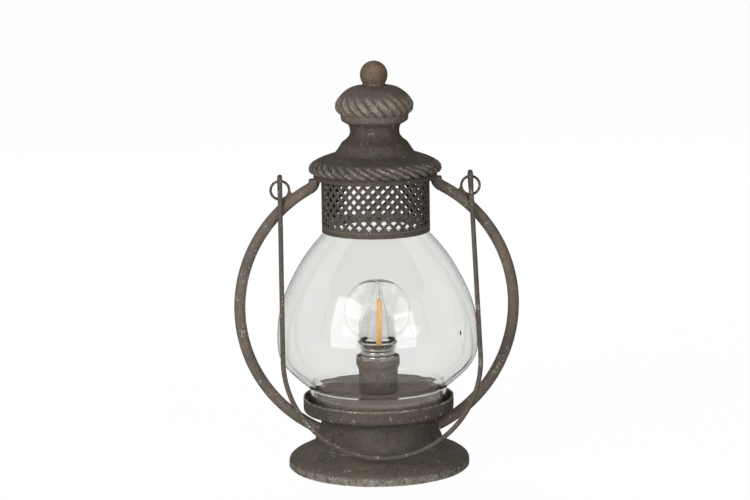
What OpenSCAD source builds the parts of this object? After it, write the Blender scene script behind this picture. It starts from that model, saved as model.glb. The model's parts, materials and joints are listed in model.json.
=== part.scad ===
// Battery lantern in the style of an oil lantern: a spun foot and drum, a glass globe in a
// gallery, a perforated vent sleeve under a roof, two arched side tubes and a swinging bail.
// Frame: origin at the centre of the foot on the ground, +Z up, +X to the right, front at -Y.
// Millimetres.

/* [Foot and drum] */
// Outer radius of the foot's rim
foot_r = 68.5; // [66:0.5:72]
// Height of the foot, where the drum starts
foot_h = 17.6; // [16:0.1:18]
// Radius of the drum at its lower end
drum_low_r = 49; // [48:0.5:52]
// Radius of the drum at its upper end
drum_top_r = 42.2; // [41:0.2:44]
// Thickness of the spun sheet steel
sheet_t = 1.2; // [0.8:0.1:1.4]

/* [Gallery and deck] */
// Height of the gallery's floor above the ground
gallery_z = 43; // [42:0.5:44]
// Outer radius of the gallery's rim
gallery_r = 56.9; // [56:0.1:58]
// Height of the gallery's rim
gallery_h = 11; // [9:0.5:12]
// Radius of the raised deck inside the globe's foot
deck_r = 47.5; // [46:0.5:48.5]
// Height of the top of the deck above the ground
deck_z = 57; // [56:0.5:58]

/* [Globe] */
// Largest outer radius of the glass globe
globe_r = 75.5; // [74:0.5:76]
// Thickness of the globe's glass
globe_t = 2.2; // [1.8:0.1:2.6]

/* [Vent sleeve] */
// Outer radius of the perforated sleeve
sleeve_r = 40.5; // [40.2:0.1:40.6]
// Height of the sleeve's lower edge above the ground
sleeve_z = 180.3; // [180:0.1:182]
// Number of holes in one row
hole_columns = 34; // [24:2:34]
// Number of rows of holes
hole_rows = 9; // [3:1:9]
// Side of one square hole, which stands on its corner
hole_side = 3.15; // [2:0.05:3.2]

/* [Roof] */
// Largest radius of the roof's rim
roof_r = 49.8; // [49:0.1:50.5]
// Largest radius of the crown
crown_r = 29.4; // [28.5:0.1:30]
// Radius of the ball on top
ball_r = 10.5; // [9.5:0.1:11]

/* [Side frame] */
// Radius of the arch that a side tube's centre line follows
arch_r = 103.3; // [102:0.1:105]
// Height of the arch's centre above the ground
arch_z = 122.4; // [121:0.1:124]
// Outer radius of a side tube
tube_r = 4.2; // [3.8:0.1:4.4]
// Centre-line radius of the small loops that carry the bail
loop_r = 6.9; // [6.5:0.1:7.2]
// Radius of the loops' wire
loop_wire_r = 1.0; // [0.8:0.1:1.1]

/* [Bail] */
// Radius of the bail's wire
bail_wire_r = 1.8; // [1.5:0.1:1.9]
// Centre-line radius of the round bottom of the bail
bail_r = 73.4; // [72.5:0.1:74]
// Distance from the hinge line to the bottom of the bail
bail_drop = 208.7; // [206:0.1:209]
// Forward lean of the bail where its legs rest against the side tubes, in degrees
bail_lean = 17; // [17:0.1:18]

/* [Bulb] */
// Largest radius of the bulb's glass
bulb_r = 25; // [22:0.5:26]
// Height of the top of the bulb above the ground
bulb_top_z = 142.4; // [140:0.2:145]
// Radius of the filament stick
filament_r = 1.95; // [1:0.05:2.5]

/* [Battery box] */
// Diameter of one AA cell
cell_d = 14.5; // [14:0.1:14.5]
// Length of one AA cell with its nub
cell_l = 50.5; // [49.5:0.1:50.5]
// Distance between neighbouring cells
cell_pitch = 15; // [14.8:0.1:15]
// Travel of the switch's slider
switch_travel = 3; // [2:0.5:3]

/* [Hidden] */
round_fn = 96;
wire_fn = 32;
joint_gap = 0.1;

// Colours
iron = [0.36, 0.32, 0.29];
dark_iron = [0.3, 0.27, 0.25];
steel = [0.72, 0.72, 0.7];
brass = [0.75, 0.58, 0.3];
plastic = [0.12, 0.12, 0.12];

// Foot: points of the outer outline, from the ground up
foot_outline = [
    [foot_r - 2.7, 0], [foot_r - 1.2, 0], [foot_r, 1.2], [foot_r, 4], [foot_r - 0.3, 5.9],
    [foot_r - 1.2, 7.6], [foot_r - 3.9, 9.7], [foot_r - 8.5, 12], [foot_r - 14, 14.7],
    [drum_low_r, foot_h], [drum_low_r - 4, foot_h]
];
// Drum: outer outline, from the foot up to the gallery
drum_outline = [
    [drum_low_r, foot_h], [drum_low_r - 0.5, foot_h + 2.9], [drum_low_r - 5.4, foot_h + 16.4],
    [drum_top_r, gallery_z]
];
// Gallery: underside of the floor, rounded corner and rim
gallery_top_z = gallery_z + gallery_h;
wire_hole_r = 9;
gallery_outline = [
    [wire_hole_r, gallery_z], [gallery_r - 2, gallery_z], [gallery_r - 0.6, gallery_z + 0.5],
    [gallery_r, gallery_z + 1.8], [gallery_r, gallery_top_z]
];
gallery_floor_z = gallery_z + sheet_t;

// Deck: wall, rounded edge and top
nipple_r = 5;
deck_outline = [
    [deck_r, gallery_floor_z], [deck_r, deck_z - 1.6], [deck_r - 0.5, deck_z - 0.5],
    [deck_r - 1.6, deck_z], [nipple_r + 0.1, deck_z]
];

// Globe: outer outline, from its foot in the gallery to its neck in the sleeve
globe_foot_r = 51.8;
globe_neck_r = 38.8;
globe_top_z = 187;
globe_points = [
    [globe_foot_r, gallery_floor_z + 10.5], [globe_foot_r, 60.8], [globe_foot_r + 0.5, 62.2],
    [globe_foot_r + 1.9, 63.4], [globe_r - 17.5, 66.9], [globe_r - 10.9, 73],
    [globe_r - 4.9, 79.5], [globe_r - 1.2, 86.5], [globe_r, 95], [globe_r - 0.1, 104],
    [globe_r - 1.3, 115.5], [globe_r - 4.3, 127.5], [globe_r - 8.7, 138.4],
    [globe_r - 13.7, 148.4], [globe_r - 18.9, 157.4], [51.2, 165.2], [46, 171.6],
    [41, 177.2], [globe_neck_r, 180.4]
];

// Lamp holder: cup with a flared mouth
holder_top_z = 84.6;
holder_r = 14.9;
holder_points = [
    [holder_r, deck_z + 1.4], [holder_r, 72], [holder_r + 0.4, 75.4], [holder_r + 1.5, 78],
    [holder_r + 1.7, 81], [holder_r + 1.4, holder_top_z]
];
holder_base_z = 60.6;
holder_floor_z = 65.6;
thread_shell_r = 13.9;

// Bulb: glass outline, from the neck in the cap to the top
bulb_mid_z = bulb_top_z - bulb_r;
bulb_points = [
    [12.8, 93.4], [13.4, 96.6], [15.2, 99.4], [19.6, 103.2], [23.3, 109],
    [bulb_r, bulb_mid_z], [24.1, 124.5], [21, 131.8], [16, 137.6], [9, 141.3], [0, bulb_top_z]
];
filament_z = 94.7;
filament_l = 29.8;
cap_top_z = 95.3;
cap_low_z = 70.6;
cap_r = 13.1;
thread_pitch = 3.629;

// Roof stack
ring_z = 220.3;
ring_h = 3.2;
ring_in_r = 41.3;
ring_out_r = 46.2;
seat_z = ring_z + ring_h + 0.1;
flange_t = 0.8;
sleeve_t = 0.8;
bell_z = seat_z + flange_t;
neck_z = 246.2;
crown_z = 261.4;
crown_top_z = 289.6;
ball_z = 297.4;
bell_points = [
    [roof_r - 3.6, bell_z], [roof_r - 0.8, bell_z + 1], [roof_r, bell_z + 3.2],
    [roof_r - 0.3, bell_z + 5.1], [roof_r - 1.7, bell_z + 7], [roof_r - 4.5, bell_z + 8.8],
    [roof_r - 9, bell_z + 11], [roof_r - 14.4, bell_z + 13], [30.5, 239.1], [27.8, 242.4],
    [26, 245.2], [25.2, neck_z]
];
neck_points = [
    [25.3, neck_z], [24.4, 247.4], [21.2, 249.9], [19, 252.8], [18.5, 255.9], [18.9, 258.8],
    [19.6, 260.3], [20.4, crown_z]
];
crown_points = [
    [21, crown_z], [24, 263.1], [25.2, 264.8], [25.5, 267.8], [crown_r - 3, 268.7],
    [crown_r - 0.7, 271.2], [crown_r, 274.4], [crown_r - 0.9, 278.2], [crown_r - 4.6, 282.9],
    [19.6, 287], [14, 289.1], [8.6, crown_top_z], [2.2, crown_top_z]
];
rod_r = 2;
rod_low_z = 236;
bridge_z = 243;

// Side frame
arch_top_angle = 118.2;
arch_low_angle = 243.6;
end_bend_r = 6;
bend_r = arch_r + end_bend_r;
bend_x = bend_r * cos(arch_top_angle);
bend_z = arch_z + bend_r * sin(arch_top_angle);
loop_x = 71.4;
loop_z = 212.6;
gusset_t = 2.4;

// Bail
hinge_z = loop_z + loop_r;
eye_r = 3.2;
eye_l = 13;
bail_centre = bail_drop - bail_r;
hinge_reach = norm([loop_x, bail_centre]);
leg_flare = atan2(bail_centre, loop_x) - acos(bail_r / hinge_reach);
leg_l = sqrt(hinge_reach * hinge_reach - bail_r * bail_r);
eye_half_angle = asin(eye_r / eye_l);
strand_l = sqrt(eye_l * eye_l - eye_r * eye_r);

// Battery box, under the drum
plate_z = 1.8;
plate_t = 1;
cavity = [54.4, 46.4];
box_wall = 1.5;
box_z = 3.4;
cell_z = 11;
box_top_z = 20.3;
lid_size = [57, 48.9];
lid_t = 1.4;
lid_hinge_y = -26.8;
lid_hinge_z = 4.2;
lid_pin_r = 0.95;
lug_x = 20.4;
screw_at = [32, 17];
switch_y = 38;
contact_x = cavity.x / 2;
contact_t = 0.4;
cell_ys = [-cell_pitch, 0, cell_pitch];
cell_signs = [1, -1, 1];
spring_wire_r = 0.35;
spring_turns = 3.5;
lead_r = 0.75;

// Routes of the three wires, from the battery box and the switch up into the lamp holder
positive_route = [
    [26.9, -15, 22.4], [26.9, -14, 26], [24, -4, 28], [18, 10, 27.5], [12, 24, 25], [8, 34, 18],
    [5, 37.5, 13], [4, 38, 9.6]
];
switched_route = [
    [-4, 38, 9.6], [-5, 37.5, 13], [-7, 34, 18], [-7, 26, 25], [-4, 14, 32], [-1.6, 4, 40],
    [-1.4, 0, 46], [-1.4, 0, 53], [-1.4, 0, 60.4]
];
negative_route = [
    [-26.9, 15, 22.4], [-26, 14, 26], [-20, 8, 30], [-8, 2, 35], [0.8, -0.6, 41], [1.4, 0, 46],
    [1.4, 0, 53], [1.4, 0, 60.4]
];

// ---- Curves and sheets ----

// A point between b and c on a smooth curve through a, b, c and d
function between(a, b, c, d, t) =
    0.5 * (2 * b + (c - a) * t + (2 * a - 5 * b + 4 * c - d) * t * t + (3 * b - a - 3 * c + d) * t * t * t);

// A smooth curve through the points p, with n steps from each point to the next
function curve(p, n = 3) = let (last = len(p) - 1) concat(
    [for (i = [0 : last - 1], k = [0 : n - 1])
        between(p[max(i - 1, 0)], p[i], p[i + 1], p[min(i + 2, last)], k / n)],
    [p[last]]
);

// Unit direction of the path p at its point i
function heading(p, i) = let (d = p[min(i + 1, len(p) - 1)] - p[max(i - 1, 0)]) d / norm(d);

function reversed(p) = [for (i = [len(p) - 1 : -1 : 0]) p[i]];

// The flat path p moved by t towards the axis; both ends stay on the path's end planes
function inner_path(p, t) = let (last = len(p) - 1) [
    for (i = [0 : last]) let (h = heading(p, i), q = p[i] + t * [-h.y, h.x])
        [max(q.x, 0), min(max(q.y, p[0].y), p[last].y)]
];

// Sheet of thickness t spun round the Z axis, whose outside follows p
module spun_sheet(p, t) {
    rotate_extrude($fn = round_fn) polygon(concat(p, reversed(inner_path(p, t))));
}

// Solid of revolution inside the outline p
module spun_solid(p) {
    first = p[0];
    last = p[len(p) - 1];
    rotate_extrude($fn = round_fn) polygon(concat([[0, first.y]], p, [[0, last.y]]));
}

// Round tube of radius r swept along the points p, with the given number of sides
module swept_wire(p, r, sides, side_hint) {
    count = len(p);
    rings = [for (i = [0 : count - 1])
        let (h = heading(p, i), u = cross(h, side_hint) / norm(cross(h, side_hint)), v = cross(h, u))
            for (k = [0 : sides - 1]) p[i] + r * (u * cos(360 * k / sides) + v * sin(360 * k / sides))];
    skin = [for (i = [0 : count - 2], k = [0 : sides - 1]) let (a = i * sides, b = (k + 1) % sides)
        [a + k, a + b, a + b + sides, a + k + sides]];
    low_cap = [for (k = [sides - 1 : -1 : 0]) k];
    high_cap = [for (k = [0 : sides - 1]) (count - 1) * sides + k];
    polyhedron(rings, concat(skin, [low_cap, high_cap]));
}

module ring_of(r_out, r_in, h) {
    difference() {
        cylinder(r = r_out, h = h, $fn = round_fn);
        translate([0, 0, -1]) cylinder(r = r_in, h = h + 2, $fn = round_fn);
    }
}

// Part of a round ring in the XY plane: wire of radius r, centre line of radius big_r. Both ends
// stop short by half a joint_gap, which the ball of a knuckle fills.
module ring_arc(big_r, r, start, sweep) {
    short = joint_gap / 2 / big_r * 180 / PI;
    rotate([0, 0, start + short]) rotate_extrude(angle = sweep - 2 * short, $fn = round_fn)
        translate([big_r, 0]) circle(r = r, $fn = wire_fn);
}

module full_ring(big_r, r) {
    rotate_extrude($fn = round_fn) translate([big_r, 0]) circle(r = r, $fn = wire_fn);
}

// Straight wire along Z that stops short in the same way
module straight_run(r, h) {
    translate([0, 0, joint_gap / 2]) cylinder(r = r, h = h - joint_gap, $fn = wire_fn);
}

// Ball that joins two runs of wire of radius r at the origin
module knuckle(r) {
    sphere(r = r + 0.04, $fn = wire_fn);
}

// Turns a shape drawn in the XY plane up into the XZ plane
module upright() {
    rotate([90, 0, 0]) children();
}

module hex_nut(across_flats, bore_r, h) {
    difference() {
        cylinder(r = across_flats / 2 / cos(30), h = h, $fn = 6);
        translate([0, 0, -1]) cylinder(r = bore_r, h = h + 2, $fn = wire_fn);
    }
}

// ---- Foot, drum, gallery and deck ----

module base_foot() {
    color(iron) spun_sheet(foot_outline, sheet_t);
}

module bottom_plate() {
    opening = [cavity.x + 2 * box_wall + 1.2, 55.5];
    color(dark_iron) difference() {
        translate([0, 0, plate_z]) cylinder(r = foot_r - sheet_t - 0.7, h = plate_t, $fn = round_fn);
        translate([-opening.x / 2, -30.2, 0]) cube([opening.x, opening.y, 6]);
        translate([-switch_travel, switch_y - 1.6, 0]) cube([2 * switch_travel, 3.2, 6]);
        for (x = [-1, 1], y = [-1, 1])
            translate([x * screw_at.x, y * screw_at.y, 0]) cylinder(r = 1.6, h = 6, $fn = wire_fn);
    }
}

module tank_drum() {
    color(iron) spun_sheet(drum_outline, sheet_t);
}

module gallery_pan() {
    color(iron) spun_sheet(gallery_outline, sheet_t);
}

module burner_deck() {
    color(dark_iron) spun_sheet(deck_outline, 1);
}

// ---- Glass globe ----

module glass_globe() {
    outline = concat(
        [[globe_foot_r, gallery_floor_z]],
        curve(globe_points),
        [[globe_neck_r, globe_top_z]]
    );
    color([0.87, 0.88, 0.86, 0.35]) spun_sheet(outline, globe_t);
}

// ---- Lamp holder ----

module lamp_holder() {
    outline = concat([[nipple_r + 0.1, deck_z], [holder_r - 1.4, deck_z]], curve(holder_points));
    color(dark_iron) spun_sheet(outline, 0.9);
}

module holder_thread() {
    steps = 20;
    low = holder_floor_z;
    high = holder_top_z - 1;
    outline = [for (i = [0 : steps]) let (z = low + (high - low) * i / steps)
        [thread_shell_r - 0.12 + 0.12 * cos(360 * (z - low) / thread_pitch), z]];
    color(brass) spun_sheet(outline, 0.35);
}

module holder_base() {
    color("ivory") difference() {
        translate([0, 0, holder_base_z])
            cylinder(r = 13.6, h = holder_floor_z - holder_base_z, $fn = round_fn);
        for (x = [-7, 7]) translate([x, 0, 0]) cylinder(r = 1.5, h = 100, $fn = wire_fn);
    }
}

module holder_tongue() {
    color(brass) translate([-7, -2, holder_floor_z]) cube([11, 4, 0.6]);
}

module threaded_nipple() {
    color(brass) translate([0, 0, 50]) ring_of(nipple_r, 3.4, 10.2);
}

module nipple_nuts() {
    color(steel) for (z = [deck_z - 1 - 2.4, deck_z + 0.95])
        translate([0, 0, z]) hex_nut(13, nipple_r + 0.03, 2);
}

// ---- Bulb ----

module bulb_glass() {
    color([0.9, 0.9, 0.88, 0.3]) spun_sheet(curve(bulb_points, 4), 0.6);
}

module bulb_stem() {
    color([0.9, 0.9, 0.88, 0.5]) spun_solid([[5.5, 84], [5, 88], [3, 91], [2.4, 93.6]]);
}

module bulb_cap() {
    steps = 30;
    thread_top = 91.5;
    outline = concat(
        [for (i = [0 : steps]) let (z = cap_low_z + (thread_top - cap_low_z) * i / steps)
            [cap_r - 0.35 - 0.35 * cos(360 * (z - cap_low_z) / thread_pitch), z]],
        [[cap_r, 92.4], [cap_r + 1.1, 93.5], [cap_r + 1.9, cap_top_z]]
    );
    color(steel) spun_sheet(outline, 0.4);
}

module bulb_insulator() {
    color("black") spun_solid([[4.2, 68.2], [6.5, 68.4], [11.6, cap_low_z]]);
}

module bulb_contact() {
    color(steel) spun_solid([[2.6, 66.6], [3.8, 67.1], [4.2, 68.2]]);
}

// Frame of the filament, which leans a little to the right of the bulb's axis
module filament_lean() {
    translate([0.7, 0, filament_z]) rotate([0, 2.4, 0]) children();
}

module led_filament() {
    color("orange") filament_lean() cylinder(r = filament_r, h = filament_l, $fn = wire_fn);
}

module filament_leads() {
    color(steel) {
        filament_lean() translate([0, 0, filament_l]) cylinder(r = 0.4, h = 4.6, $fn = wire_fn);
        translate([0.7, 0, 93.6]) cylinder(r = 0.4, h = filament_z - 93.6, $fn = wire_fn);
    }
}

module led_driver() {
    color("darkgreen") translate([0, 0, 78]) cylinder(r = 8.5, h = 1.2, $fn = wire_fn);
}

// ---- Side frame ----

module top_ring() {
    color(iron) translate([0, 0, ring_z]) rotate_extrude($fn = round_fn) polygon([
        [ring_in_r, 0], [ring_out_r - 0.5, 0], [ring_out_r, 0.5], [ring_out_r, ring_h - 0.5],
        [ring_out_r - 0.5, ring_h], [ring_in_r, ring_h]
    ]);
}

// Centre line of the left tube, as a rod of radius r: arch, outward bend and upright end
module tube_run(r) {
    into_drum = 3;
    above_ring = 2;
    translate([0, 0, arch_z]) upright() {
        ring_arc(arch_r, r, arch_top_angle, arch_low_angle - arch_top_angle + into_drum);
        rotate([0, 0, arch_top_angle]) translate([arch_r, 0, 0]) knuckle(r);
    }
    translate([bend_x, 0, bend_z]) upright()
        ring_arc(end_bend_r, r, arch_top_angle + 180, 180 - arch_top_angle);
    translate([bend_x + end_bend_r, 0, bend_z]) {
        knuckle(r);
        straight_run(r, ring_z - bend_z + above_ring);
    }
}

// The left tube, cut off where it meets the top ring and the drum
module side_tube() {
    difference() {
        tube_run(tube_r);
        tube_run(tube_r - 1);
        translate([bend_x - 10, -10, ring_z]) cube([30, 20, 20]);
        spun_solid(concat([[drum_low_r, 10]], drum_outline));
    }
}

module side_tube_left() {
    color(iron) side_tube();
}

module side_tube_right() {
    color(iron) mirror([1, 0, 0]) side_tube();
}

// The left loop and the web that joins it to the tube
module bail_loop() {
    web = [[-0.5, -6.6], [-0.6, -14], [12.5, -6], [9.6, -3.4], [8.2, -1.4], [7, 1.4], [5.9, 0.4]];
    difference() {
        translate([-loop_x, 0, loop_z]) upright() {
            full_ring(loop_r, loop_wire_r);
            translate([0, 0, -gusset_t / 2]) linear_extrude(gusset_t) difference() {
                polygon(web);
                circle(r = loop_r, $fn = round_fn);
            }
        }
        translate([0, 0, arch_z]) upright() full_ring(arch_r, tube_r + 0.01);
    }
}

module bail_loop_left() {
    color(iron) bail_loop();
}

module bail_loop_right() {
    color(iron) mirror([1, 0, 0]) bail_loop();
}

// ---- Bail ----

// Closed eye that hangs over a loop's wire; its centre is the origin and the leg is below
module bail_eye() {
    tangent = [eye_r * cos(eye_half_angle), -eye_r * sin(eye_half_angle)];
    rotate([90, 0, 90]) ring_arc(eye_r, bail_wire_r, -eye_half_angle, 180 + 2 * eye_half_angle);
    for (side = [-1, 1]) {
        translate([0, 0, -eye_l]) rotate([-side * eye_half_angle, 0, 0]) straight_run(bail_wire_r, strand_l);
        translate([0, side * tangent.x, tangent.y]) knuckle(bail_wire_r);
    }
    translate([0, 0, -eye_l]) sphere(r = bail_wire_r + 0.25, $fn = wire_fn);
}

// The right leg, standing on the end of the round bottom
module bail_leg() {
    rotate([0, -leg_flare, 0]) translate([bail_r, 0, 0]) {
        knuckle(bail_wire_r);
        straight_run(bail_wire_r, leg_l - eye_l);
        translate([0, 0, leg_l]) bail_eye();
    }
}

module bail_handle() {
    color(iron) translate([0, 0, hinge_z]) rotate([-bail_lean, 0, 0]) translate([0, 0, -bail_centre]) {
        upright() ring_arc(bail_r, bail_wire_r, 180 - leg_flare, 180 + 2 * leg_flare);
        for (turn = [0, 180]) rotate([0, 0, turn]) bail_leg();
    }
}

// ---- Roof ----

module vent_sleeve() {
    row_step = 3.85;
    first_row_z = 188.1;
    front = -91.4;
    color(dark_iron) {
        difference() {
            translate([0, 0, sleeve_z]) ring_of(sleeve_r, sleeve_r - sleeve_t, seat_z - sleeve_z + flange_t);
            for (row = [0 : hole_rows - 1], i = [0 : hole_columns - 1])
                rotate([0, 0, front + (i + (row % 2) / 2) * 360 / hole_columns])
                    translate([sleeve_r - 2, 0, first_row_z + row * row_step])
                        rotate([45, 0, 0]) translate([0, -hole_side / 2, -hole_side / 2])
                            cube([4, hole_side, hole_side]);
        }
        translate([0, 0, seat_z]) ring_of(ring_out_r - 1, sleeve_r - 0.2, flange_t);
    }
}

module roof_bell() {
    color(iron) spun_sheet(curve(bell_points), sheet_t);
}

module roof_neck() {
    color(iron) spun_sheet(curve(neck_points), 1);
}

module crown_dome() {
    lip = [19, crown_z];
    color(iron) spun_sheet(concat([lip], curve(crown_points)), 1);
}

module finial_ball() {
    color(iron) difference() {
        union() {
            translate([0, 0, ball_z]) sphere(r = ball_r, $fn = round_fn);
            translate([0, 0, crown_top_z]) cylinder(r1 = 8.9, r2 = 8.4, h = 3, $fn = round_fn);
        }
        translate([0, 0, crown_top_z - 10]) cylinder(r = 20, h = 10, $fn = round_fn);
        translate([0, 0, crown_top_z - 1]) cylinder(r = rod_r + 0.05, h = 8, $fn = wire_fn);
    }
}

module tie_rod() {
    color(steel) translate([0, 0, rod_low_z])
        cylinder(r = rod_r, h = crown_top_z + 6 - rod_low_z, $fn = wire_fn);
}

module roof_bridge() {
    length = 51;
    color(dark_iron) difference() {
        translate([-length / 2, -5, bridge_z]) cube([length, 10, 1.5]);
        cylinder(r = rod_r + 0.1, h = 300, $fn = wire_fn);
        spun_sheet(curve(bell_points), sheet_t);
    }
}

module roof_nut() {
    color(steel) translate([0, 0, bridge_z - 3.3]) hex_nut(7, rod_r + 0.03, 3.2);
}

// ---- Battery box ----

module battery_box() {
    outer = [cavity.x + 2 * box_wall, cavity.y + 2 * box_wall];
    lug_w = 2.2;
    color(plastic) difference() {
        union() {
            translate([-outer.x / 2, -outer.y / 2, box_z]) cube([outer.x, outer.y, box_top_z - box_z]);
            for (x = [-1, 1], y = [-1, 1]) translate([x * screw_at.x - 3.2, y * screw_at.y - 4, 2.8])
                cube([6.4, 8, 3.7]);
            for (x = [-lug_x - lug_w, lug_x])
                translate([x, -outer.y / 2 - 4.1, box_z]) cube([lug_w, 5, 2.8]);
        }
        translate([-cavity.x / 2, -cavity.y / 2, 0]) cube([cavity.x, cavity.y, box_top_z - 1.4]);
        for (x = [-1, 1], y = [-1, 1])
            translate([x * screw_at.x, y * screw_at.y, 0]) cylinder(r = 1.5, h = 5.8, $fn = wire_fn);
        translate([-30, lid_hinge_y, lid_hinge_z]) rotate([0, 90, 0])
            cylinder(r = lid_pin_r + 0.07, h = 60, $fn = wire_fn);
        for (s = [1, -1]) translate([s * 26.9 - 0.5, -s * cell_pitch - 1.6, 10]) cube([1, 3.2, 20]);
    }
}

module battery_lid() {
    knuckle_w = 5;
    pin_reach = 1.9;
    arm_y = lid_hinge_y + 2.6;
    color(plastic) {
        translate([-lid_size.x / 2, -24.3, plate_z]) difference() {
            cube([lid_size.x, lid_size.y, lid_t]);
            translate([lid_size.x / 2, lid_size.y - 6, -8.6]) rotate([0, 90, 0]) rotate([0, 0, 90])
                translate([0, 0, -7]) cylinder(r = 9.2, h = 14, $fn = round_fn);
        }
        for (x = [-lug_x + 0.3, lug_x - 0.3 - knuckle_w]) {
            translate([x, lid_hinge_y, lid_hinge_z]) rotate([0, 90, 0])
                cylinder(r = 1.7, h = knuckle_w, $fn = wire_fn);
            translate([x, lid_hinge_y, plate_z]) cube([knuckle_w, arm_y - lid_hinge_y, lid_t]);
        }
        for (s = [-1, 1]) translate([s * (lug_x - 1), lid_hinge_y, lid_hinge_z]) rotate([0, s * 90, 0])
            cylinder(r = lid_pin_r, h = pin_reach + 1, $fn = wire_fn);
    }
}

// One AA cell along X; sign is 1 where its nub points to +X
module cell(i) {
    nub_l = 1.2;
    nub_end = contact_x - contact_t - 0.2;
    color("darkgoldenrod") mirror([cell_signs[i] < 0 ? 1 : 0, 0, 0]) translate([nub_end, cell_ys[i], cell_z])
        rotate([0, -90, 0]) {
            cylinder(r = 2.7, h = nub_l, $fn = wire_fn);
            translate([0, 0, nub_l]) cylinder(r = cell_d / 2, h = cell_l - nub_l, $fn = round_fn);
        }
}

// Cone-shaped spring between the flat end of a cell and its contact plate
module cell_spring(i) {
    low_x = contact_x - contact_t - spring_wire_r - 0.05;
    high_x = cell_l - (contact_x - contact_t - 0.2) + spring_wire_r + 0.05;
    steps = 10 * spring_turns;
    path = [for (k = [0 : steps]) let (a = 36 * k, r = 4.6 - 1.8 * k / steps)
        [-low_x + (low_x - high_x) * k / steps, r * cos(a), r * sin(a)]];
    color(steel) mirror([cell_signs[i] < 0 ? 1 : 0, 0, 0]) translate([0, cell_ys[i], cell_z])
        swept_wire(path, spring_wire_r, 5, [1, 0, 0]);
}

module contact_plate(x, y_low, y_high) {
    translate([x - contact_t / 2, y_low, 6]) cube([contact_t, y_high - y_low, 9.5]);
}

module bridge_contact_left() {
    color(steel) contact_plate(-contact_x + contact_t / 2, -cell_pitch - 4.5, 4.5);
}

module bridge_contact_right() {
    color(steel) contact_plate(contact_x - contact_t / 2, -4.5, cell_pitch + 4.5);
}

// Contact plate with a solder tab that stands out of the top of the box
module terminal(side) {
    x = side * (contact_x - contact_t / 2);
    y = -side * cell_pitch;
    contact_plate(x, y - 4.5, y + 4.5);
    translate([x - contact_t / 2, y - 1.2, 12]) cube([contact_t, 2.4, 10]);
}

module terminal_positive() {
    color(steel) terminal(1);
}

module terminal_negative() {
    color(steel) terminal(-1);
}

module box_screws() {
    color(steel) for (x = [-1, 1], y = [-1, 1])
        translate([x * screw_at.x, y * screw_at.y, 0.5]) difference() {
            union() {
                cylinder(r1 = 2.4, r2 = 2.8, h = plate_z - 0.5, $fn = wire_fn);
                cylinder(r = 1.45, h = 5, $fn = wire_fn);
            }
            for (turn = [0, 90]) rotate([0, 0, turn]) translate([-1.6, -0.3, -1]) cube([3.2, 0.6, 1.7]);
        }
}

// ---- Switch ----

module switch_body() {
    color("dimgray") translate([0, switch_y, plate_z + plate_t]) difference() {
        translate([-6.5, -3, 0.1]) cube([13, 6, 5.5]);
        translate([-4.5, -2, -1]) cube([9, 4, 4.7]);
    }
}

module switch_slider() {
    block = [8.4 - switch_travel, 3.4, 2.3];
    left = -4.2;
    color("black") translate([left, switch_y, 0]) {
        translate([0, -block.y / 2, 3.6]) cube(block);
        translate([block.x / 2 - 1.2, -1.2, 0.7]) cube([2.4, 2.4, 3.2]);
    }
}

module switch_terminals() {
    color(steel) for (x = [-4, 4]) translate([x, switch_y, 8.4]) cylinder(r = 0.5, h = 1, $fn = wire_fn);
}

// ---- Wires ----

module wire_positive() {
    color("red") swept_wire(curve(positive_route), lead_r, 8, [1, 0, 0]);
}

module wire_switched() {
    color("red") swept_wire(curve(switched_route), lead_r, 8, [1, 0, 0]);
}

module wire_negative() {
    color("black") swept_wire(curve(negative_route), lead_r, 8, [0, 1, 0]);
}

base_foot();
bottom_plate();
tank_drum();
gallery_pan();
burner_deck();
glass_globe();
lamp_holder();
holder_thread();
holder_base();
holder_tongue();
threaded_nipple();
nipple_nuts();
bulb_glass();
bulb_stem();
bulb_cap();
bulb_insulator();
bulb_contact();
led_filament();
filament_leads();
led_driver();
top_ring();
side_tube_left();
side_tube_right();
bail_loop_left();
bail_loop_right();
bail_handle();
vent_sleeve();
roof_bell();
roof_neck();
crown_dome();
finial_ball();
tie_rod();
roof_bridge();
roof_nut();
battery_box();
battery_lid();
cell(0);  // battery_1
cell(1);  // battery_2
cell(2);  // battery_3
cell_spring(0);  // cell_spring_1
cell_spring(1);  // cell_spring_2
cell_spring(2);  // cell_spring_3
bridge_contact_left();
bridge_contact_right();
terminal_positive();
terminal_negative();
box_screws();
switch_body();
switch_slider();
switch_terminals();
wire_positive();
wire_switched();
wire_negative();
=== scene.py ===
"""Looks of the hanging lantern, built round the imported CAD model. Metres, +Z up, front at -Y."""

import json
import math

import bpy
import numpy as np
from mathutils import Matrix, Vector


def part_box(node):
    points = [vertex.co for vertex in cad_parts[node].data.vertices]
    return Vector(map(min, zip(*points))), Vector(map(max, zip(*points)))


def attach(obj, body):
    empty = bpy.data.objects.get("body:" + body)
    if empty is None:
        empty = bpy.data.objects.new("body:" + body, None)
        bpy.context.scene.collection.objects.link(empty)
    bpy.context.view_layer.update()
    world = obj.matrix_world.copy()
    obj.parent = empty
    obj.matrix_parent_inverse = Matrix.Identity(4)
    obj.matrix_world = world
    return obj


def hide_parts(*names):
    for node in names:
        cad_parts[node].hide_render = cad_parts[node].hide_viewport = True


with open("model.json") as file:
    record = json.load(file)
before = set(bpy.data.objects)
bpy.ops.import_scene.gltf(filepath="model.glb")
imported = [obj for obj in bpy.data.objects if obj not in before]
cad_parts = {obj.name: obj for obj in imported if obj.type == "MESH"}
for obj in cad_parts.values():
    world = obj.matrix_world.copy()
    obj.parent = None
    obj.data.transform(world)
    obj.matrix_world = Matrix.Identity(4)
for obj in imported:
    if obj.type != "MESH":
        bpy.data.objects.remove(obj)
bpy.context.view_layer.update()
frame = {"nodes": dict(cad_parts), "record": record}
MM = 0.001
TAU = 2 * math.pi

# ---------------------------------------------------------------- camera

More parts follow.
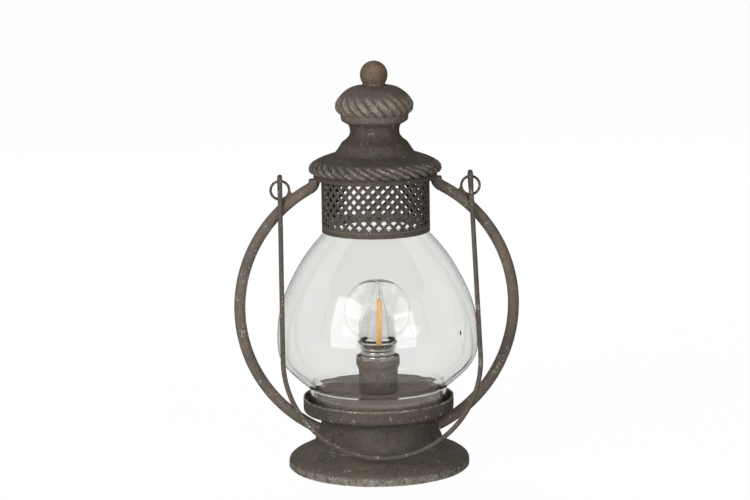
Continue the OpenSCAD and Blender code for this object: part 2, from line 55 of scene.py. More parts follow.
VIEW_TARGET = Vector((0, 0, 0.165))
VIEW_DISTANCE = 2.034
VIEW_AZIMUTH = math.radians(-4.5)
VIEW_ELEVATION = math.radians(10.1)
VIEW_ROLL = math.radians(-0.85)
VIEW_LENS = 130.2
VIEW_SENSOR = 36
VIEW_SHIFT_X, VIEW_SHIFT_Y = -0.0018, 0.0006


def add_object(name, data):
    made = bpy.data.objects.new(name, data)
    bpy.context.scene.collection.objects.link(made)
    return made


def direction(azimuth, elevation):
    """Unit vector from the lantern towards a viewer; azimuth 0 is in front, at -Y."""
    return Vector((
        math.sin(azimuth) * math.cos(elevation),
        -math.cos(azimuth) * math.cos(elevation),
        math.sin(elevation),
    ))


def add_camera():
    data = bpy.data.cameras.new("camera")
    data.sensor_width = VIEW_SENSOR
    data.lens = VIEW_LENS
    data.shift_x = VIEW_SHIFT_X
    data.shift_y = VIEW_SHIFT_Y
    data.clip_end = 50
    camera = add_object("camera", data)
    away = direction(VIEW_AZIMUTH, VIEW_ELEVATION)
    turn = away.to_track_quat("Z", "Y") @ Matrix.Rotation(VIEW_ROLL, 3, "Z").to_quaternion()
    place = Matrix.Translation(VIEW_TARGET + away * VIEW_DISTANCE)
    camera.matrix_world = place @ turn.to_matrix().to_4x4()
    bpy.context.scene.camera = camera


# ---------------------------------------------------------------- floor, room and lights

FLOOR_HALF = 12.0
FLOOR_GLOW = 0.975  # the floor as it is seen: near white, with a faint shadow
FLOOR_SHADED = 0.06
FLOOR_BOUNCE = 0.22  # the floor as a plain matt surface that lights the lantern
ROOM_LIGHT = 0.075
ROOM_THROUGH_GLASS = 0.98
LIGHT_AIM = Vector((0, 0, 0.13))


def matt(tree, level):
    node = tree.nodes.new("ShaderNodeBsdfDiffuse")
    node.inputs["Color"].default_value = (level, level, level, 1)
    return node.outputs[0]


def larger(tree, a, b):
    node = tree.nodes.new("ShaderNodeMath")
    node.operation = "MAXIMUM"
    tree.links.new(a, node.inputs[0])
    tree.links.new(b, node.inputs[1])
    return node.outputs[0]


def mix_shaders(tree, share, a, b):
    node = tree.nodes.new("ShaderNodeMixShader")
    tree.links.new(share, node.inputs["Fac"])
    tree.links.new(a, node.inputs[1])
    tree.links.new(b, node.inputs[2])
    return node.outputs[0]


def glowing_floor(tree):
    """What the camera sees of the floor: its glow, and a little of the light that falls on it."""
    glow = tree.nodes.new("ShaderNodeEmission")
    glow.inputs["Strength"].default_value = FLOOR_GLOW
    both = tree.nodes.new("ShaderNodeAddShader")
    tree.links.new(glow.outputs[0], both.inputs[0])
    tree.links.new(matt(tree, FLOOR_SHADED), both.inputs[1])
    return both.outputs[0]


def stage_material():
    """Pale floor, plain and matt for all light but what the camera sees. It is clear from below
    and for shadows, so that the foot's underside can be lit and looked at."""
    made = bpy.data.materials.new("stage_floor")
    made.use_nodes = True
    tree = made.node_tree
    tree.nodes.clear()
    paths = tree.nodes.new("ShaderNodeLightPath").outputs
    side = tree.nodes.new("ShaderNodeNewGeometry").outputs
    clear = tree.nodes.new("ShaderNodeBsdfTransparent").outputs[0]
    seen = larger(tree, paths["Is Camera Ray"], paths["Is Transmission Ray"])
    above = mix_shaders(tree, seen, matt(tree, FLOOR_BOUNCE), glowing_floor(tree))
    through = larger(tree, side["Backfacing"], paths["Is Shadow Ray"])
    out = tree.nodes.new("ShaderNodeOutputMaterial")
    tree.links.new(mix_shaders(tree, through, above, clear), out.inputs["Surface"])
    return made


def add_floor():
    half = FLOOR_HALF
    corners = [(-half, -half, 0), (half, -half, 0), (half, half, 0), (-half, half, 0)]
    mesh = bpy.data.meshes.new("stage_floor")
    mesh.from_pydata(corners, [], [(0, 1, 2, 3)])
    mesh.materials.append(stage_material())
    add_object("stage_floor", mesh)


def add_room():
    """Dim light from all round; the camera and the glass see it bright."""
    world = bpy.data.worlds.new("studio")
    bpy.context.scene.world = world
    world.use_nodes = True
    tree = world.node_tree
    tree.nodes.clear()
    paths = tree.nodes.new("ShaderNodeLightPath").outputs
    room = tree.nodes.new("ShaderNodeMapRange")
    room.inputs["To Min"].default_value = ROOM_LIGHT
    room.inputs["To Max"].default_value = ROOM_THROUGH_GLASS
    tree.links.new(paths["Is Transmission Ray"], room.inputs["Value"])
    back = tree.nodes.new("ShaderNodeBackground")
    strength = larger(tree, paths["Is Camera Ray"], room.outputs[0])
    tree.links.new(strength, back.inputs["Strength"])
    out = tree.nodes.new("ShaderNodeOutputWorld")
    tree.links.new(back.outputs[0], out.inputs["Surface"])
    bpy.context.scene.view_settings.view_transform = "Standard"


def add_softbox(name, azimuth, elevation, distance, size, radiance):
    """Rectangular light that faces the lantern; radiance is what a mirror would show."""
    data = bpy.data.lights.new(name, "AREA")
    data.shape = "RECTANGLE"
    data.size, data.size_y = size
    data.energy = radiance * math.pi * size[0] * size[1]
    light = add_object(name, data)
    away = direction(math.radians(azimuth), math.radians(elevation))
    turn = away.to_track_quat("Z", "Y").to_matrix().to_4x4()
    light.matrix_world = Matrix.Translation(LIGHT_AIM + away * distance) @ turn
    return light


def add_lights():
    add_softbox("softbox_left", azimuth=-42.9, elevation=14.8, distance=1.25,
                size=(0.71, 0.955), radiance=2.8)
    behind = add_softbox("softbox_behind", azimuth=180, elevation=28, distance=1.7,
                         size=(1.8, 1.2), radiance=1.5)
    behind.visible_glossy = False
    behind.visible_transmission = False
    behind.visible_camera = False
    under = add_softbox("softbox_under", azimuth=0, elevation=-90, distance=0.30,
                        size=(0.09, 0.09), radiance=3.0)
    under.data.spread = math.radians(60)
    under.visible_camera = False
    add_softbox("softbox_right", azimuth=27.6, elevation=10.5, distance=1.25,
                size=(0.527, 0.755), radiance=2.6)


# ---------------------------------------------------------------- meshes

ON_PLANE = 2e-7
ON_AXIS = 1e-6
NEAR_ZERO = 1e-9
CORNER_ANGLE = 35.0
SHARP_ANGLE = math.radians(40)


def add_mesh(name, points, faces, body, material, wear_and_shade):
    mesh = bpy.data.meshes.new(name)
    mesh.from_pydata([tuple(p) for p in points], [], faces)
    mesh.validate()
    mesh.materials.append(material)
    values = np.asarray(wear_and_shade, np.float32)
    # per vertex: positive where metal is rubbed, negative in grooves that are painted dark as
    # shade
    mesh.attributes.new("wear_and_shade", "FLOAT", "POINT").data.foreach_set("value", values)
    mesh.shade_smooth()
    mesh.set_sharp_from_angle(angle=SHARP_ANGLE)
    piece = add_object(name, mesh)
    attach(piece, body)
    return piece


def turned_area(points):
    """Twice the area inside a closed section, positive if it runs anticlockwise."""
    r, z = points[:, 0], points[:, 1]
    return np.sum(r * np.roll(z, -1) - np.roll(r, -1) * z)


def meridian(node):
    """Closed section (radius, z) of a spun CAD node, anticlockwise: its edges in the half plane
    y = 0, x > 0, in order."""
    mesh = frame["nodes"][node].data
    flat = {v.index: (round(v.co.x, 6), round(v.co.z, 6)) for v in mesh.vertices
            if abs(v.co.y) < ON_PLANE and v.co.x > -NEAR_ZERO}
    links = {}
    for a, b in (e.vertices for e in mesh.edges):
        if a in flat and b in flat and flat[a] != flat[b]:
            links.setdefault(flat[a], set()).add(flat[b])
            links.setdefault(flat[b], set()).add(flat[a])
    start = min(links, key=lambda p: (p[1], -p[0]))
    path = [start]
    here = max(links[start], key=lambda p: p[0])
    while here != start and len(path) < len(links) + 1:
        path.append(here)
        onward = [p for p in links[here] if p != path[-2]]
        here = onward[0] if onward else start
    points = np.array(path)
    return points if turned_area(points) > 0 else points[::-1]


def bend_angles(points):
    """Degrees by which a closed section bends at each of its points."""
    steps = np.roll(points, -1, axis=0) - points
    heading = [math.atan2(step[1], step[0]) for step in steps]
    bends = [math.remainder(heading[i] - heading[i - 1], TAU) for i in range(len(points))]
    return np.degrees(np.abs(bends))


def with_length(vector, length):
    return vector * length / max(NEAR_ZERO, float(np.linalg.norm(vector)))


def curve_point(p1, leave, p2, reach, t):
    """Point at share t of a curve that leaves p1 along leave and reaches p2 along reach."""
    return ((2 * t ** 3 - 3 * t * t + 1) * p1 + (t ** 3 - 2 * t * t + t) * leave
            + (3 * t * t - 2 * t ** 3) * p2 + (t ** 3 - t * t) * reach)


def smooth_section(points, spacing):
    """Section with extra points on a smooth curve between its corners, about spacing apart."""
    count = len(points)
    sharp = bend_angles(points) > CORNER_ANGLE
    out = []
    for i in range(count):
        p1, p2 = points[i], points[(i + 1) % count]
        before, after = points[i - 1], points[(i + 2) % count]
        length = float(np.linalg.norm(p2 - p1))
        leave = with_length(p2 - p1 if sharp[i] else p2 - before, length)
        reach = with_length(p2 - p1 if sharp[(i + 1) % count] else after - p1, length)
        n = max(1, round(length / spacing))
        out += [curve_point(p1, leave, p2, reach, t) for t in np.arange(n) / n]
    return np.array(out)


def ring_faces(index, on_axis):
    """Faces between neighbouring rings of vertex numbers. A ring on the axis is one vertex."""
    rings = index.tolist()
    faces = []
    for i, ring in enumerate(rings):
        j = (i + 1) % len(rings)
        if on_axis[i] and on_axis[j]:
            continue
        for k in range(len(ring)):
            n = (k + 1) % len(ring)
            corners = [ring[k], ring[n], rings[j][n], rings[j][k]]
            face = [v for m, v in enumerate(corners) if v not in corners[:m]]
            if len(face) > 2:
                faces.append(face)
    return faces


def spin(name, section, segments, body, material, relief=None):
    """Spins a closed section round Z. relief(radius, z, turn) gives the change of radius, the
    change of z and a value for wear and painted shade, positive where metal is rubbed and
    negative in grooves, which are painted dark as shade."""
    turn = np.arange(segments) / segments * TAU
    radius = np.repeat(section[:, :1], segments, axis=1)
    height = np.repeat(section[:, 1:], segments, axis=1)
    turns = np.repeat(turn[None, :], len(section), axis=0)
    wear_and_shade = np.zeros_like(radius)
    if relief:
        change_r, change_z, wear_and_shade = relief(radius, height, turns)
        radius, height = radius + change_r, height + change_z
    on_axis = section[:, 0] < ON_AXIS
    index = np.arange(radius.size).reshape(radius.shape)
    index[on_axis] = index[on_axis][:, :1]
    points = np.stack([radius * np.cos(turns), radius * np.sin(turns), height], axis=-1)
    faces = ring_faces(index, on_axis)
    used = sorted({v for f in faces for v in f})
    place = {v: j for j, v in enumerate(used)}
    faces = [[place[v] for v in f] for f in faces]
    points = points.reshape(-1, 3)[used]
    return add_mesh(name, points, faces, body, material, np.ravel(wear_and_shade)[used])


# ---------------------------------------------------------------- shader nodes

class Nodes:
    """Short ways to add shader nodes to a new material."""

    def __init__(self, name):
        self.material = bpy.data.materials.new(name)
        self.material.use_nodes = True
        self.tree = self.material.node_tree
        self.shader = self.tree.nodes["Principled BSDF"]
        self.place = self.tree.nodes.new("ShaderNodeTexCoord").outputs["Object"]

    def put(self, socket, value):
        if isinstance(value, bpy.types.NodeSocket):
            self.tree.links.new(value, socket)
        elif isinstance(value, tuple) and len(value) == 3 and len(socket.default_value) == 4:
            socket.default_value = (*value, 1)
        else:
            socket.default_value = value

    def set(self, **values):
        for key, value in values.items():
            self.put(self.shader.inputs[key.replace("_", " ")], value)

    def noise(self, scale, detail, roughness, offset=(0, 0, 0), distortion=0.0):
        mapping = self.tree.nodes.new("ShaderNodeMapping")
        mapping.inputs["Location"].default_value = offset
        self.tree.links.new(self.place, mapping.inputs["Vector"])
        node = self.tree.nodes.new("ShaderNodeTexNoise")
        node.inputs["Scale"].default_value = scale
        node.inputs["Detail"].default_value = detail
        node.inputs["Roughness"].default_value = roughness
        node.inputs["Distortion"].default_value = distortion
        self.tree.links.new(mapping.outputs[0], node.inputs["Vector"])
        return node.outputs["Fac"]

    def math(self, operation, *values):
        node = self.tree.nodes.new("ShaderNodeMath")
        node.operation = operation
        for socket, value in zip(node.inputs, values):
            self.put(socket, value)
        return node.outputs[0]

    def span(self, value, low, high, to_low=0.0, to_high=1.0):
        """value from low..high to to_low..to_high, clamped."""
        node = self.tree.nodes.new("ShaderNodeMapRange")
        self.put(node.inputs["From Min"], low)
        self.put(node.inputs["From Max"], high)
        self.put(node.inputs["To Min"], to_low)
        self.put(node.inputs["To Max"], to_high)
        self.put(node.inputs["Value"], value)
        return node.outputs[0]

    def mix(self, share, a, b):
        node = self.tree.nodes.new("ShaderNodeMix")
        node.data_type = "RGBA"
        self.put(node.inputs[0], share)
        self.put(node.inputs[6], a)
        self.put(node.inputs[7], b)
        return node.outputs[2]

    def axis(self, letter):
        """One coordinate, X, Y or Z, of the point that is shaded."""
        split = self.tree.nodes.new("ShaderNodeSeparateXYZ")
        self.tree.links.new(self.place, split.inputs[0])
        return split.outputs[letter]

    def radius(self):
        """Distance from the lantern's axis."""
        across = self.math("POWER", self.axis("X"), 2.0)
        along = self.math("POWER", self.axis("Y"), 2.0)
        return self.math("SQRT", self.math("ADD", across, along))

    def stitches(self, height, half, count):
        """Row of count small marks round Z at a height; half is half the row's width."""
        turn = self.math("ARCTAN2", self.axis("Y"), self.axis("X"))
        wave = self.math("SINE", self.math("MULTIPLY", turn, count))
        row = self.math("COMPARE", self.axis("Z"), height, half)
        return self.math("MULTIPLY", self.math("GREATER_THAN", wave, 0.1), row)

    def near(self, centre, size):
        """1 within an ellipsoid round centre, falling to 0 at its surface."""
        mapping = self.tree.nodes.new("ShaderNodeMapping")
        mapping.vector_type = "TEXTURE"
        mapping.inputs["Location"].default_value = centre
        mapping.inputs["Scale"].default_value = size
        self.tree.links.new(self.place, mapping.inputs["Vector"])
        length = self.tree.nodes.new("ShaderNodeVectorMath")
        length.operation = "LENGTH"
        self.tree.links.new(mapping.outputs[0], length.inputs[0])
        return self.span(length.outputs["Value"], 1.0, 0.7)

    def attribute(self, name):
        node = self.tree.nodes.new("ShaderNodeAttribute")
        node.attribute_name = name
        return node.outputs["Fac"]

    def bump(self, *layers):
        """Each layer is (height socket, distance in metres)."""
        normal = None
        for socket, distance in layers:
            node = self.tree.nodes.new("ShaderNodeBump")
            node.inputs["Distance"].default_value = distance
            node.inputs["Strength"].default_value = 1.0
            self.tree.links.new(socket, node.inputs["Height"])
            if normal is not None:
                self.tree.links.new(normal, node.inputs["Normal"])
            normal = node.outputs["Normal"]
        self.tree.links.new(normal, self.shader.inputs["Normal"])


# ---------------------------------------------------------------- materials

UMBER = (0.190, 0.150, 0.122)
OLIVE = (0.176, 0.158, 0.116)
SLATE = (0.150, 0.130, 0.112)
RUSTY = (0.300, 0.190, 0.135)
# pale of rubbed metal, also the painted highlight on the sleeve's punch marks
PALE_AND_HIGHLIGHT = (0.46, 0.41, 0.34)
# soot, also the colour of painted shade in grooves and under the ball
SOOT_AND_SHADE = (0.070, 0.058, 0.048)
# black of the painted shade inside the vent sleeve
INSIDE_SHADE_COLOUR = (0.030, 0.026, 0.022)
CREAM = (0.72, 0.68, 0.58)
INCLUSION = (0.10, 0.08, 0.05)
COAT_DARK, COAT_LIGHT = (0.92, 0.46, 0.10), (0.96, 0.56, 0.16)

FLECK_LEVEL = 0.700  # of the grit's noise, above which a cream fleck shows
STITCH_Z, STITCH_HALF, STITCH_COUNT = 0.1843, 0.0004, 96
SLEEVE_SHADE_R = 40.2 * MM  # painted shade makes all inside this radius black; it lies between the sleeve's inner and outer faces
BALL_UNDERSIDE_SHADE = (0.291, 0.302)  # heights between which the painted shade on the ball's underside fades out
GLOBE_INCLUSION = ((0.0577, -0.0479, 0.1100), (0.0010, 0.0012, 0.0020))  # centre, half size


def cloudy_patina(n, shade, blotch, rust):
    """Umber and slate clouds with olive blotches and rust."""
    clouds = n.noise(38, 5, 0.6, distortion=0.4)
    colour = n.mix(n.span(clouds, 0.42, 0.58), shade(UMBER), shade(SLATE))
    colour = n.mix(n.span(blotch, 0.48, 0.66, 0, 0.85), colour, shade(OLIVE))
    rusted = n.noise(60, 5, 0.7, offset=(0.5, 0.5, 0.1))
    return n.mix(n.span(rusted, 0.54, 0.70, 0, rust), colour, shade(RUSTY))


def worn_and_groove_shaded(n, colour, shade, wear_and_shade, mottle):
    """Pale where the metal is rubbed; dark in its grooves as painted shade."""
    rubbed = n.math("MULTIPLY", n.math("MAXIMUM", wear_and_shade, 0.0), n.span(mottle, 0.36, 0.60))
    colour = n.mix(n.math("MULTIPLY", rubbed, 0.75), colour, shade(PALE_AND_HIGHLIGHT))
    # the grooves are painted dark as shade
    return n.mix(n.span(wear_and_shade, 0.0, -0.5, 0, 0.55), colour, shade(SOOT_AND_SHADE))


def underside_shade(n, colour, shade, mottle, low, high):
    """Painted shade, thick at the height low and gone at high."""
    fade = n.span(n.axis("Z"), high, low)
    depth = n.math("MULTIPLY", fade, n.span(mottle, 0.30, 0.56))
    return n.mix(n.math("MULTIPLY", depth, 0.75), colour, shade(SOOT_AND_SHADE))


def flecked(n, colour, wear_and_shade, chalk):
    """Cream flecks, more of them on rubbed edges and in chalky patches."""
    grit = n.noise(640, 3, 0.6, offset=(0.2, 0.8, 0.5))
    edge = n.math("MULTIPLY", n.math("MAXIMUM", wear_and_shade, 0.0), 0.12)
    chalky = n.span(n.noise(120, 4, 0.7, offset=(0.6, 0.2, 0.4)), 0.50, 0.68)
    patches = n.math("MULTIPLY", chalky, chalk * 0.20)
    level = n.math("SUBTRACT", FLECK_LEVEL, n.math("ADD", edge, patches))
    fleck = n.span(n.math("SUBTRACT", grit, level), 0.0, 0.02)
    return n.mix(n.math("MULTIPLY", fleck, 0.9), colour, CREAM)


def inside_shade(n, colour, shade, radius):
    """Painted shade: black on all that is nearer to the axis than radius."""
    inside = n.span(n.radius(), radius, radius - 0.2 * MM, 0, 0.9)
    return n.mix(inside, colour, shade(INSIDE_SHADE_COLOUR))


def stitch_highlights(n, colour, shade):
    """Row of punch marks, painted pale as highlights."""
    marks = n.stitches(STITCH_Z, STITCH_HALF, STITCH_COUNT)
    return n.mix(n.math("MULTIPLY", marks, 0.8), colour, shade(PALE_AND_HIGHLIGHT))


def aged_iron(name, tone, rust=0.35, chalk=0.6, warm=0.0, shade_low=None, inside_shade_r=None, stitches=False):
    """Brown patina on sheet iron. tone lightens it, warm turns it to copper, and rust and chalk
    are the amounts of rust and of cream flecks. The last three arguments add painted shade low
    down, painted black shade inside a radius and a row of punch marks painted pale as highlights."""
    n = Nodes(name)

    def shade(colour):
        red, green, blue = colour
        return red * tone, green * tone * (1 - 0.06 * warm), blue * tone * (1 - 0.14 * warm)

    blotch = n.noise(95, 6, 0.65, offset=(0.3, 0.1, 0.7), distortion=0.6)
    mottle = n.noise(210, 4, 0.65, offset=(0.7, 0.9, 0.3), distortion=0.3)
    grain = n.noise(520, 5, 0.7, offset=(0.9, 0.4, 0.2))
    wear_and_shade = n.attribute("wear_and_shade")
    colour = cloudy_patina(n, shade, blotch, rust)
    colour = n.mix(n.span(mottle, 0.46, 0.28, 0, 0.60), colour, shade(SOOT_AND_SHADE))
    colour = n.mix(n.span(grain, 0.54, 0.80, 0, 0.45), colour, shade(PALE_AND_HIGHLIGHT))
    colour = worn_and_groove_shaded(n, colour, shade, wear_and_shade, mottle)
    # painted shade, dark low down
    if shade_low:
        colour = underside_shade(n, colour, shade, mottle, *shade_low)
    colour = flecked(n, colour, wear_and_shade, chalk)
    # painted shade, black inside the radius
    if inside_shade_r:
        colour = inside_shade(n, colour, shade, inside_shade_r)
    # punch marks painted pale as highlights
    if stitches:
        colour = stitch_highlights(n, colour, shade)
    n.set(Base_Color=colour, Roughness=n.span(grain, 0.3, 0.7, 0.50, 0.74))
    n.set(Metallic=0.0, Specular_IOR_Level=0.35)
    n.bump((blotch, 0.0010), (mottle, 0.0006), (grain, 0.00022))
    return n.material


def plain_metal(name, colour, roughness):
    """Bare metal with a fine grain and a little dirt."""
    n = Nodes(name)
    grain = n.noise(400, 5, 0.6)
    dirt = n.noise(400 / 6, 4, 0.6, offset=(0.4, 0.1, 0.8))
    dark = tuple(c * 0.45 for c in colour)
    shade = n.mix(n.span(dirt, 0.45, 0.75, 0, 0.35), colour, dark)
    n.set(Base_Color=n.mix(n.span(grain, 0.3, 0.8, 0, 0.35), shade, dark))
    n.set(Roughness=n.span(grain, 0.3, 0.7, roughness * 0.75, roughness * 1.3), Metallic=1.0)
    n.bump((grain, 0.00006))
    return n.material


def moulded(name, colour, roughness, light=1.25):
    """Plastic, ceramic or lacquer with a fine grain; its smudges are lighter by light."""
    n = Nodes(name)
    grain = n.noise(900, 4, 0.6)
    smudge = n.noise(45, 3, 0.5, offset=(0.7, 0.3, 0.1))
    bright = tuple(min(1.0, c * light) for c in colour)
    n.set(Base_Color=n.mix(n.span(smudge, 0.35, 0.7), colour, bright))
    n.set(Roughness=n.span(grain, 0.3, 0.7, roughness * 0.8, roughness * 1.2))
    n.bump((grain, 0.00005))
    return n.material


def clear_glass(name, tint, waviness=0.0, inclusion=None):
    """Clear glass; inclusion is the (centre, half size) of a dark speck in it."""
    n = Nodes(name)
    colour, clear = tint, 1.0
    if inclusion:
        speck = n.near(*inclusion)
        colour = n.mix(speck, tint, INCLUSION)
        clear = n.math("SUBTRACT", 1.0, speck)
    n.set(Base_Color=colour, Transmission_Weight=clear, IOR=1.47)
    n.set(Roughness=n.span(n.noise(30, 3, 0.5), 0.5, 0.8, 0.0, 0.02))
    if waviness:
        n.bump((n.noise(22, 2, 0.4, offset=(0.1, 0.6, 0.3)), waviness))
    return n.material


def filament_coat(name):
    """Orange phosphor that glows a little."""
    n = Nodes(name)
    grain = n.noise(700, 4, 0.6)
    colour = n.mix(n.span(grain, 0.3, 0.7), COAT_DARK, COAT_LIGHT)
    n.set(Base_Color=colour, Roughness=0.45, Emission_Color=colour, Emission_Strength=0.45)
    n.bump((grain, 0.00008))
    return n.material


IRON = aged_iron("aged_iron", tone=1.08)
IRON_NECK = aged_iron("aged_iron_neck", tone=0.92)
IRON_CROWN = aged_iron("aged_iron_crown", tone=1.62, rust=0.45, chalk=0.9)
IRON_FOOT = aged_iron("aged_iron_foot", tone=1.30, chalk=0.8)
IRON_TUBE = aged_iron("aged_iron_tube", tone=1.88, rust=0.6, chalk=1.1)
IRON_RUBBED = aged_iron("aged_iron_rubbed", tone=1.22, rust=0.3, chalk=1.1)
IRON_DECK = aged_iron("aged_iron_deck", tone=2.1, rust=0.12, chalk=1.0)
IRON_HOLDER = aged_iron("aged_iron_holder", tone=1.15, rust=0.12, chalk=0.8)
IRON_DARK = aged_iron("dark_iron", tone=1.0, rust=0.4)
# the sleeve is painted black inside as shade, and its punch marks pale as highlights
IRON_SLEEVE = aged_iron("aged_iron_sleeve", tone=1.18, rust=0.5, inside_shade_r=SLEEVE_SHADE_R,
                        stitches=True)
# the ball is painted dark low down, as shade under it
IRON_BALL = aged_iron("aged_iron_ball", tone=1.95, rust=1.0, chalk=0.8, warm=1.5,
                      shade_low=BALL_UNDERSIDE_SHADE)
IRON_WIRE = aged_iron("wire_iron", tone=1.35, rust=0.6, chalk=1.2)
GLOBE_GLASS = clear_glass("globe_glass", (0.896, 0.899, 0.886), 0.00015, GLOBE_INCLUSION)
BULB_GLASS = clear_glass("bulb_glass", (0.98, 0.98, 0.975))
NICKEL = plain_metal("nickel", (0.50, 0.475, 0.44), 0.24)
STEEL = plain_metal("steel", (0.56, 0.55, 0.53), 0.38)
SOLDER = plain_metal("solder", (0.60, 0.60, 0.60), 0.45)
BRASS = plain_metal("brass", (0.78, 0.46, 0.24), 0.30)
BLACK = moulded("black_plastic", (0.028, 0.028, 0.030), 0.5)
CERAMIC = moulded("ceramic", (0.72, 0.69, 0.62), 0.7, light=1.1)
BOARD = moulded("circuit_board", (0.03, 0.14, 0.06), 0.35)
JACKET = moulded("cell_jacket", (0.06, 0.075, 0.11), 0.25)
RED_WIRE = moulded("red_wire", (0.42, 0.025, 0.02), 0.4)
BLACK_WIRE = moulded("black_wire", (0.02, 0.02, 0.02), 0.4)
FILAMENT = filament_coat("filament")

SLOT_LOOKS = {
    "aged_iron": IRON,
    "dark_iron": IRON_DARK,
    "globe_glass": GLOBE_GLASS,
    "bulb_glass": BULB_GLASS,
    "brass": BRASS,
    "ceramic": CERAMIC,
    "steel": STEEL,
    "nickel": NICKEL,
    "solder": SOLDER,
    "filament": FILAMENT,
    "circuit_board": BOARD,
    "black_plastic": BLACK,
    "cell_jacket": JACKET,
    "red_wire": RED_WIRE,
    "black_wire": BLACK_WIRE,
}
NODE_LOOKS = {
    "vent_sleeve": IRON_SLEEVE,
    "side_tube_left": IRON_TUBE,
    "side_tube_right": IRON_TUBE,
    "bail_loop_left": IRON_WIRE,
    "bail_loop_right": IRON_WIRE,
    "bail_handle": IRON_WIRE,
    "top_ring": IRON,
}


def dress_nodes():
    """Gives every CAD node its material: its own look, or else that of its slot in the record."""
    for part in frame["record"]["subparts"]:
        mesh = frame["nodes"][part["node"]].data
        look = NODE_LOOKS.get(part["node"], SLOT_LOOKS[part["material_slot"]])
        mesh.materials.clear()
        mesh.materials.append(look)
        first = np.zeros(len(mesh.polygons), np.int32)
        mesh.polygons.foreach_set("material_index", first)


# ---------------------------------------------------------------- relief of the spun pieces

RUB_FADE = 0.8 * MM

ROPE_LOBES = 36
ROPE_DEPTH = 2.4 * MM
ROPE_SLANT = 1.9  # radians of twist for each radian round the rim
ROPE_INSET, ROPE_RISE = 4.4 * MM, 4.2 * MM  # of the rope's centre, from the bell's edge and foot
ROPE_CORE = 3.2 * MM
ROPE_INNER = 2.2 * MM
ROPE_FROM, ROPE_TO, ROPE_FADE = math.radians(-75), math.radians(95), math.radians(22)

GADROONS = 23
GADROON_DEPTH = 1.9 * MM
GADROON_SLANT = 0.33  # radians of twist for each millimetre of height
GADROON_RISE = 13.0 * MM  # of the crown's widest part, from its foot
GADROON_REACH = 8.5 * MM  # how far in from the crown's edge the lobes go


def wobble(turns, height, size, seed):
    """Gentle hand-made unevenness, between 0 and size."""
    z = height * 1000
    waves = (np.sin(3 * turns + seed) + np.sin(5 * turns + z * 0.11 + 2 * seed)
             + np.sin(8 * turns - z * 0.17 + 5 * seed) + np.sin(13 * turns + z * 0.31 + 3 * seed))
    return size * (waves + 4) / 8


def band(value, low, high, fade):
    """1 between low and high, falling to 0 over fade outside them."""
    return np.clip((value - low) / fade + 1, 0, 1) * np.clip((high - value) / fade + 1, 0, 1)


def lobe_wear_and_shade(lobe):
    """Rubbed on top of a lobe; negative in the groove beside it, where shade is painted."""
    return np.clip(lobe * 1.5 - 0.6, -0.6, 1)


def uneven(size, seed, rubbed=None):
    """Relief of a plain spun part, with metal rubbed pale between the two heights in rubbed."""
    def relief(radius, height, turns):
        still = np.zeros_like(radius)
        wear_and_shade = band(height, *rubbed, RUB_FADE) if rubbed else still
        return -wobble(turns, height, size, seed), still, wear_and_shade
    return relief


def rope_relief(radius, height, turns):
    """Twisted rope round the roof's rim: slanting lobes with grooves between them."""
    low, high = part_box("roof_bell")
    centre_r, centre_z = high.x - ROPE_INSET, low.z + ROPE_RISE
    around = np.arctan2(height - centre_z, radius - centre_r)
    outside = np.hypot(height - centre_z, radius - centre_r) > ROPE_CORE
    on_rim = band(around, ROPE_FROM, ROPE_TO, ROPE_FADE)
    on_rim = on_rim * (radius > centre_r - ROPE_INNER) * outside
    phase = ROPE_LOBES * turns / 2 + ROPE_SLANT * around
    phase = phase + 0.22 * np.sin(3 * turns) + 0.12 * np.sin(11 * turns)
    lobe = np.abs(np.cos(phase)) ** 0.75
    strength = 0.68 + 0.32 * np.sin(2 * turns + 2.6) * np.sin(5 * turns)
    depth = ROPE_DEPTH * strength * (1 - lobe) * on_rim
    change_r = -depth * np.cos(around) - wobble(turns, height, 0.25 * MM, 2.0)
    # last value: rubbed lobe tops, and painted shade in the grooves
    return change_r, -depth * np.sin(around), on_rim * lobe_wear_and_shade(lobe)


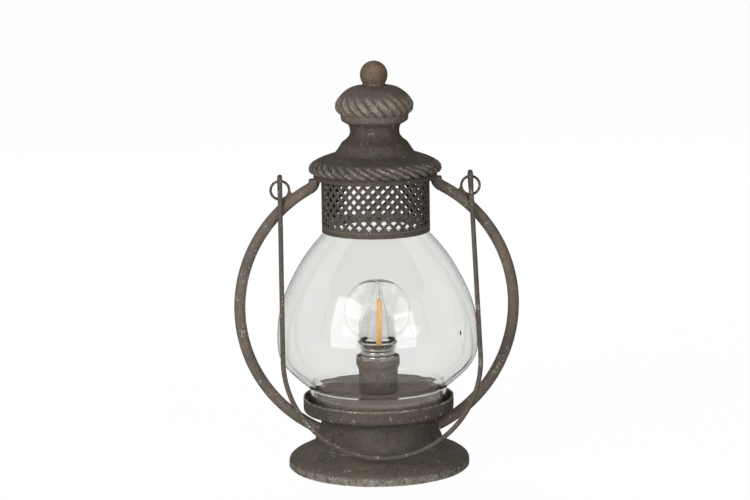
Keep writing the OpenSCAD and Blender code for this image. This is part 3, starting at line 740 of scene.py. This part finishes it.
def gadroon_relief(radius, height, turns):
    """Slanting leaf-like lobes round the widest part of the crown."""
    low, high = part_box("crown_dome")
    widest = low.z + GADROON_RISE
    rise = (height - widest) / MM
    outside = band(radius, high.x - GADROON_REACH, high.x, 2 * MM)
    on_band = band(rise, -4.4, 6.0, 3.2) * outside
    phase = GADROONS * turns / 2 + GADROON_SLANT * rise
    lobe = np.abs(np.cos(phase + 0.25 * np.sin(2 * turns + 0.5))) ** 0.7
    strength = 0.75 + 0.25 * np.sin(3 * turns + 1.9)
    depth = GADROON_DEPTH * strength * (1 - lobe) * on_band
    change_r = -depth - wobble(turns, height, 0.25 * MM, 4.0)
    # last value: rubbed lobe tops, and painted shade in the grooves
    return change_r, np.zeros_like(depth), on_band * lobe_wear_and_shade(lobe)


# ---------------------------------------------------------------- pieces

def spun(node, material, relief, body="body", spacing=0.9 * MM, segments=288):
    """Puts a smoother piece with relief in the place of a spun sheet node."""
    section = smooth_section(meridian(node), spacing)
    piece = spin("spun_" + node, section, segments, body, material, relief)
    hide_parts(node)


def blown(node, material, body, spacing, segments):
    """Puts a smoother piece in the place of a blown glass node."""
    section = smooth_section(meridian(node), spacing)
    piece = spin("blown_" + node, section, segments, body, material)
    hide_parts(node)


def top_of(node):
    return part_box(node)[1].z


def add_base():
    foot_top = top_of("base_foot")
    spun("base_foot", IRON_FOOT, uneven(0.25 * MM, 1.0, rubbed=(0, 5.5 * MM)))
    spun("tank_drum", IRON, uneven(0.25 * MM, 2.5, rubbed=(foot_top - MM, foot_top)))


def add_gallery():
    pan_top = top_of("gallery_pan")
    rim = (pan_top - 0.8 * MM, pan_top)
    spun("gallery_pan", IRON_RUBBED, uneven(0.3 * MM, 0.4, rubbed=rim))
    spun("burner_deck", IRON_DECK, uneven(0.3 * MM, 3.3))


def add_lamp_holder():
    holder_top = top_of("lamp_holder")
    lip = uneven(0.2 * MM, 5.1, rubbed=(holder_top - MM, holder_top))
    spun("lamp_holder", IRON_HOLDER, lip)


def add_roof():
    spun("roof_bell", IRON, rope_relief, "roof", spacing=0.45 * MM, segments=760)
    spun("roof_neck", IRON_NECK, uneven(0.2 * MM, 0.9), "roof")
    spun("crown_dome", IRON_CROWN, gadroon_relief, "roof", spacing=0.5 * MM, segments=600)
    spun("finial_ball", IRON_BALL, uneven(0.35 * MM, 1.7), "roof")


def add_glass():
    blown("glass_globe", GLOBE_GLASS, "body", spacing=1.2 * MM, segments=320)
    blown("bulb_glass", BULB_GLASS, "bulb", spacing=0.8 * MM, segments=200)
    blown("bulb_stem", BULB_GLASS, "bulb", spacing=0.5 * MM, segments=64)


add_camera()
add_floor()
add_room()
add_lights()
dress_nodes()
add_base()
add_gallery()
add_lamp_holder()
add_roof()
add_glass()
